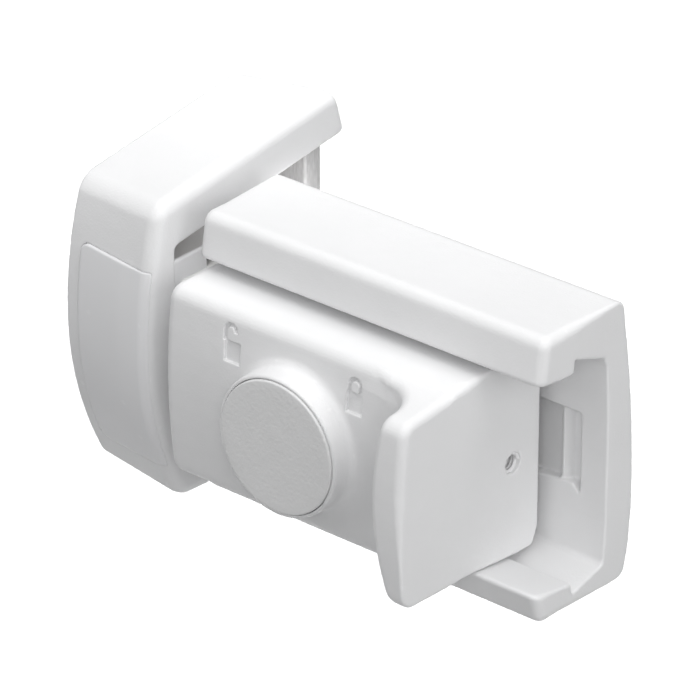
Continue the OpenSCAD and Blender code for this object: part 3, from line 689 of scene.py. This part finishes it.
def bolt_tongue():
    """Block with a chamfered nose that finds its way into the keeper."""
    low, high = (np.array(corner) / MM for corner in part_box("bolt_tongue"))
    grid = Grid(low, high)
    nose = TONGUE_NOSE
    x0, x1, y0, y1 = low[0], high[0], low[1], high[1]
    plan = grid.across_z(rounded([[x0, y0 + nose, 1.5], [x0, y1 - nose, 1.5], [x0 + nose, y1, 1.5],
                                  [x1, y1, 0], [x1, y0, 0], [x0 + nose, y0, 1.5]]))
    ends = abs(grid.z - (low[2] + high[2]) / 2) - (high[2] - low[2]) / 2
    return moulded("tongue_moulding", both(plan, ends, 1.2), grid, WALL, TONGUE_FACES)


# ---- Turned and wound pieces ------------------------------------------------

def creased(name, points, faces, crease):
    """An object in the gate frame, smooth except where it turns by more than the crease angle."""
    mesh = new_mesh(name, np.array(points) * MM + np.array(GATE), faces)
    mesh.polygons.foreach_set("use_smooth", np.ones(len(mesh.polygons), bool))
    mesh.set_sharp_from_angle(angle=math.radians(crease))
    return new_object(name, mesh)


def lathed(name, profile, x, z, turns=128):
    """A piece turned about an axis along Y in the gate frame; the profile is [radius, y]."""
    points, rows = [], []
    for r, y in profile:
        if r == 0:
            rows.append([len(points)] * turns)
            points.append((x, y, z))
            continue
        rows.append(list(range(len(points), len(points) + turns)))
        for a in np.linspace(0, 2 * math.pi, turns, endpoint=False):
            points.append((x + r * math.cos(a), y, z + r * math.sin(a)))
    faces = []
    for upper, lower in zip(rows, rows[1:]):
        for i in range(turns):
            j = (i + 1) % turns
            face = [upper[i], lower[i], lower[j], upper[j]]
            faces.append(list(dict.fromkeys(face)))
    return creased(name, points, faces, 35)


def arc(centre, r, start, end, n=6):
    """Points along an arc, from one angle to another in degrees."""
    angles = np.radians(np.linspace(start, end, n + 1))
    return [(centre[0] + r * math.cos(a), centre[1] + r * math.sin(a)) for a in angles]


def button_cap():
    """Button with a skirt, and a hollow boss behind its face that the stem is pressed into."""
    skirt = (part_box("button_cap")[1].y - GATE.y) / MM
    face = BOSS_FRONT - BUTTON_PROUD
    edge, thick, wall = 0.4, 2.0, 1.5
    stem_r, boss_r, boss_tip_r, boss_end = 3.5, 5.6, 5.2, skirt - 1.5
    inner_r, back, seat = BUTTON_R - wall, face + thick, face + thick - 0.2
    profile = [(0, face), *[(r, face) for r in (3, 6, 9, 11.5)],
               *arc((BUTTON_R - edge, face + edge), edge, -90, 0), (BUTTON_R, skirt),
               (inner_r, skirt), (inner_r, back), (boss_r, back), (boss_tip_r, boss_end),
               (stem_r, boss_end), (stem_r, seat), (0, seat)]
    return lathed("thumb_button", profile, BUTTON_X, BUTTON_Z)


def swept(name, path, ring):
    """A tube whose ring of (out, along) points follows a path of (centre, out, along) frames."""
    points, faces = [], []
    for centre, out, along in path:
        for a, b in ring:
            points.append(np.array(centre) + a * np.array(out) + b * np.array(along))
    n = len(ring)
    for i in range(len(path) - 1):
        for k in range(n):
            m = (k + 1) % n
            faces.append([i * n + k, i * n + m, (i + 1) * n + m, (i + 1) * n + k])
    faces.append(list(range(n))[::-1])
    faces.append([(len(path) - 1) * n + k for k in range(n)])
    return creased(name, points, faces, 40)


def end_thread():
    """Ridge of the M4 thread in the slide's end hole."""
    pitch, length, crest, root = 0.7, 9.0, 1.6, 2.24
    lead_in, steps = 0.55, 40
    turns = length / pitch
    path = []
    for a in np.linspace(0, 2 * math.pi * turns, int(turns * steps)):
        out = (0, math.cos(a), math.sin(a))
        x = SLIDE_L - lead_in - pitch * a / (2 * math.pi)
        path.append(((x, END_HOLE[0], END_HOLE[1]), out, (1, 0, 0)))
    ring = [(root, -0.32), (root, 0.32), (crest, 0.05), (crest, -0.05)]
    return swept("end_thread", path, ring)


def button_spring():
    """Coil spring with closed ends, about the button's stem."""
    low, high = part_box("button_spring")
    wire, turns, steps, sides = 0.55, 5, 48, 12
    y0, y1 = (low.y - GATE.y) / MM + wire, (high.y - GATE.y) / MM - wire
    r = (high.x - low.x) / MM / 2 - wire
    close = 0.5 / turns     # the share of the path that each closed end takes
    path = []
    for t in np.linspace(0, 1, turns * steps + 1):
        a = 2 * math.pi * turns * t
        u = np.interp(t, [0, close, 1 - close, 1], [0, 0.12, 0.88, 1])
        out = (math.cos(a), 0, math.sin(a))
        centre = (BUTTON_X + r * out[0], y0 + (y1 - y0) * u, BUTTON_Z + r * out[2])
        path.append((centre, out, (0, 1, 0)))
    ring = [(wire * math.cos(b), wire * math.sin(b))
            for b in np.linspace(0, 2 * math.pi, sides, endpoint=False)]
    return swept("coil_spring", path, ring)


# ---- Materials --------------------------------------------------------------

def node_material(name):
    """A new material with its node lists and its shader."""
    material = bpy.data.materials.new(name)
    material.use_nodes = True
    nodes = material.node_tree.nodes
    return material, nodes, material.node_tree.links, nodes["Principled BSDF"]


def shown(sockets, name):
    """The socket of that name that the node uses, of those that it hides for other data types."""
    return next(s for s in sockets if s.name == name and s.enabled)


def noise(nodes, links, scale, detail=2.0, stretch=(1, 1, 1)):
    """Noise in the object's own coordinates, with features of about 1 / scale metres."""
    place = nodes.new("ShaderNodeTexCoord")
    mapping = nodes.new("ShaderNodeMapping")
    mapping.inputs["Scale"].default_value = stretch
    texture = nodes.new("ShaderNodeTexNoise")
    texture.inputs["Scale"].default_value = scale
    texture.inputs["Detail"].default_value = detail
    links.new(place.outputs["Object"], mapping.inputs["Vector"])
    links.new(mapping.outputs["Vector"], texture.inputs["Vector"])
    return texture.outputs["Fac"]


def ramp(nodes, links, source, low, high, start=0.3, end=0.7):
    """Turns 0 to 1 into a colour or a grey between low and high."""
    blend = nodes.new("ShaderNodeValToRGB")
    blend.color_ramp.elements[0].position = start
    blend.color_ramp.elements[1].position = end
    blend.color_ramp.elements[0].color = (*low, 1)
    blend.color_ramp.elements[1].color = (*high, 1)
    links.new(source, blend.inputs["Fac"])
    return blend.outputs["Color"]


def bump(nodes, links, height, depth, under=None):
    """A bump of a real depth in metres, over another one if there is one."""
    relief = nodes.new("ShaderNodeBump")
    relief.inputs["Strength"].default_value = 1.0
    relief.inputs["Distance"].default_value = depth
    links.new(height, relief.inputs["Height"])
    if under is not None:
        links.new(under, relief.inputs["Normal"])
    return relief.outputs["Normal"]


def plastic(name, colour, rough, grain, depth, highlight_lift=0.03):
    """Moulded plastic: spark-eroded grain, a little tone drift, and a painted highlight that lightens
    the colour along convex edges.
    """
    material, nodes, links, shader = node_material(name)
    tone = noise(nodes, links, 55.0, 3.0)
    dim = tuple(c * 0.975 for c in colour)
    base = ramp(nodes, links, tone, dim, colour)
    # Painted highlight: convex edges, found by pointiness, get a slightly lighter base colour.
    edge = ramp(nodes, links, nodes.new("ShaderNodeNewGeometry").outputs["Pointiness"],
                (0, 0, 0), (1, 1, 1), 0.52, 0.62)
    highlight_mix = nodes.new("ShaderNodeMix")
    highlight_mix.data_type = "RGBA"
    shown(highlight_mix.inputs, "B").default_value = (*[min(1.0, c * (1 + highlight_lift)) for c in colour], 1)
    links.new(edge, shown(highlight_mix.inputs, "Factor"))
    links.new(base, shown(highlight_mix.inputs, "A"))
    links.new(shown(highlight_mix.outputs, "Result"), shader.inputs["Base Color"])
    fine = noise(nodes, links, grain, 2.0)
    shine = ramp(nodes, links, fine, (rough - 0.05,) * 3, (rough + 0.06,) * 3)
    links.new(shine, shader.inputs["Roughness"])
    waves = bump(nodes, links, noise(nodes, links, grain / 6, 1.0), depth * 1.2)
    links.new(bump(nodes, links, fine, depth, waves), shader.inputs["Normal"])
    shader.inputs["IOR"].default_value = 1.49
    return material


def steel(name, colour, rough, stretch, depth, scratch=9000.0):
    """Bare or plated metal with fine marks along one direction."""
    material, nodes, links, shader = node_material(name)
    marks = noise(nodes, links, scratch, 3.0, stretch)
    links.new(ramp(nodes, links, marks, tuple(c * 0.86 for c in colour), colour),
              shader.inputs["Base Color"])
    links.new(ramp(nodes, links, marks, (rough - 0.07,) * 3, (rough + 0.1,) * 3),
              shader.inputs["Roughness"])
    links.new(bump(nodes, links, marks, depth), shader.inputs["Normal"])
    shader.inputs["Metallic"].default_value = 1.0
    return material


def coated_steel():
    """Grey powder coat: a fine orange peel, and darker pigment in faint upright streaks."""
    material, nodes, links, shader = node_material("grey_powder_coat")
    streaks = noise(nodes, links, 2600.0, 2.0, (1, 1, 0.2))
    links.new(ramp(nodes, links, streaks, (0.42, 0.415, 0.415), (0.52, 0.515, 0.515)),
              shader.inputs["Base Color"])
    peel = noise(nodes, links, 1500.0, 2.0)
    links.new(ramp(nodes, links, peel, (0.52,) * 3, (0.66,) * 3), shader.inputs["Roughness"])
    links.new(bump(nodes, links, peel, 2.5e-5), shader.inputs["Normal"])
    return material


def slot_materials():
    """One material for each slot of the record."""
    return {
        "white_shell": plastic("white_shell_plastic", (0.84, 0.84, 0.845), 0.44, 2400.0, 4.2e-5),
        "white_cover": plastic("white_cover_plastic", (0.83, 0.83, 0.84), 0.4, 4200.0, 6e-6),
        "button_plastic": plastic("button_plastic", (0.81, 0.81, 0.81), 0.5, 1300.0, 1.1e-4),
        "white_nylon": plastic("white_nylon", (0.82, 0.82, 0.81), 0.36, 2500.0, 6e-6),
        "grey_nylon": plastic("grey_nylon", (0.64, 0.63, 0.62), 0.42, 2500.0, 8e-6),
        "coated_steel": coated_steel(),
        "spring_steel": steel("rolled_spring_steel", (0.56, 0.57, 0.6), 0.28, (1, 1, 0.05), 3e-6),
        "turned_steel": steel("turned_steel", (0.58, 0.58, 0.6), 0.25, (0.1, 1, 0.1), 4e-6),
        "zinc_screw": steel("zinc_plate", (0.68, 0.69, 0.72), 0.3, (1, 1, 1), 3e-6, 2500.0),
    }


# ---- Studio -----------------------------------------------------------------

FLOOR_DROP = 0.4


def area_light(name, energy, size, offset, target, spread=180.0):
    """A square softbox that the camera doesn't see, facing its target from an offset."""
    data = bpy.data.lights.new(name, "AREA")
    data.energy = energy
    data.size = size
    data.spread = math.radians(spread)
    light = new_object(name, data)
    light.visible_camera = False
    light.location = target + Vector(offset)
    light.rotation_euler = (target - light.location).to_track_quat("-Z", "Y").to_euler()


def studio(centre):
    """Softboxes overhead, on both sides and by the camera, and one for the floor behind."""
    area_light("top_softbox", 2.1, 0.55, (0.05, -0.05, 0.5), centre)
    area_light("right_fill", 2.2, 0.6, (0.8, -0.1, 0.25), centre)
    area_light("front_fill", 1.85, 0.4, (0.5, -0.6, 0.42), centre)
    area_light("left_fill", 1.25, 0.45, (-0.75, -0.55, 0.3), centre)
    behind = centre + Vector((-0.57, 0.67, -FLOOR_DROP))
    area_light("floor_light", 7.6, 1.2, (0.0, 0.0, 0.7), behind, 60.0)
    bay = WALL + Vector((6.0, 2.0, 12.0)) * MM
    area_light("gap_glow", 0.0032, 0.02, (0.02, 0.0, 0.0), bay)
    world = bpy.data.worlds.new("studio_air")
    world.use_nodes = True
    world.node_tree.nodes["Background"].inputs["Color"].default_value = (0.98, 0.99, 1.0, 1)
    world.node_tree.nodes["Background"].inputs["Strength"].default_value = 0.22
    bpy.context.scene.world = world


def floor(centre):
    """Plain pale floor."""
    reach, cells = 6.0, 24
    places = np.linspace(-reach, reach, cells + 1)
    points = [(centre.x + x, centre.y + y, centre.z - FLOOR_DROP) for x in places for y in places]
    n = cells + 1
    faces = [[i * n + j, (i + 1) * n + j, (i + 1) * n + j + 1, i * n + j + 1]
             for i in range(cells) for j in range(cells)]
    ground = new_object("floor", new_mesh("floor", points, faces))
    material, nodes, links, shader = node_material("pale_floor")
    grain = noise(nodes, links, 300.0, 2.0)
    links.new(ramp(nodes, links, grain, (0.58, 0.58, 0.58), (0.62, 0.62, 0.62)),
              shader.inputs["Base Color"])
    shader.inputs["Roughness"].default_value = 0.9
    ground.data.materials.append(material)


def camera():
    """The viewing angle, with a long lens from about a metre away."""
    azimuth, elevation, distance = math.radians(40.6), math.radians(27.5), 0.9584
    target = GATE + Vector((28.6, 12.0, 35.5)) * MM
    way = Vector((math.sin(azimuth) * math.cos(elevation),
                  -math.cos(azimuth) * math.cos(elevation), math.sin(elevation)))
    data = bpy.data.cameras.new("camera")
    data.sensor_width = 36.0
    data.lens = 257.14
    data.clip_start = 0.05
    view = new_object("camera", data)
    view.location = target + way * distance
    view.rotation_euler = (-way).to_track_quat("-Z", "Y").to_euler()
    bpy.context.scene.camera = view


# ---- Assembly ---------------------------------------------------------------

def place(piece, body, slot, material, node):
    """Gives a new piece its material and its body, if any, and hides the CAD node that it stands for, if
    any.
    """
    piece.data.materials.append(material)
    if node:
        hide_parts(node)
    if body:
        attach(piece, body)


def squeeze_between(piece):
    """Bakes the spring's placement into its mesh."""
    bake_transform(piece)


def dress(materials):
    """Gives every CAD node that still shows its slot's material."""
    slots = {part["node"]: part["material_slot"] for part in frame["record"]["subparts"]}
    for name, node in frame["nodes"].items():
        node.data.materials.clear()
        node.data.materials.append(materials[slots[name]])


def main():
    materials = slot_materials()
    dress(materials)
    spring = button_spring()
    squeeze_between(spring)
    pieces = (
        (keeper_shell(), "wall_half", "white_shell", "keeper_shell"),
        (keeper_cover(), "wall_half", "white_cover", "keeper_cover"),
        (strike_bracket(), "wall_half", "coated_steel", "strike_bracket"),
        (rail_housing(), "gate_half", "white_shell", "rail_housing"),
        (slide_shell(), "bolt", "white_shell", "slide_shell"),
        (bolt_tongue(), "bolt", "white_nylon", "bolt_tongue"),
        (spring, None, "spring_steel", "button_spring"),
        (button_cap(), "button", "button_plastic", "button_cap"),
        (end_thread(), "bolt", "white_shell", None),
    )
    for piece, body, slot, node in pieces:
        place(piece, body, slot, materials[slot], node)
    centre = (Vector(CAD_BOX[0]) + Vector(CAD_BOX[1])) / 2
    camera()
    studio(centre)
    floor(centre)
    bpy.context.scene.view_settings.view_transform = "Standard"


main()
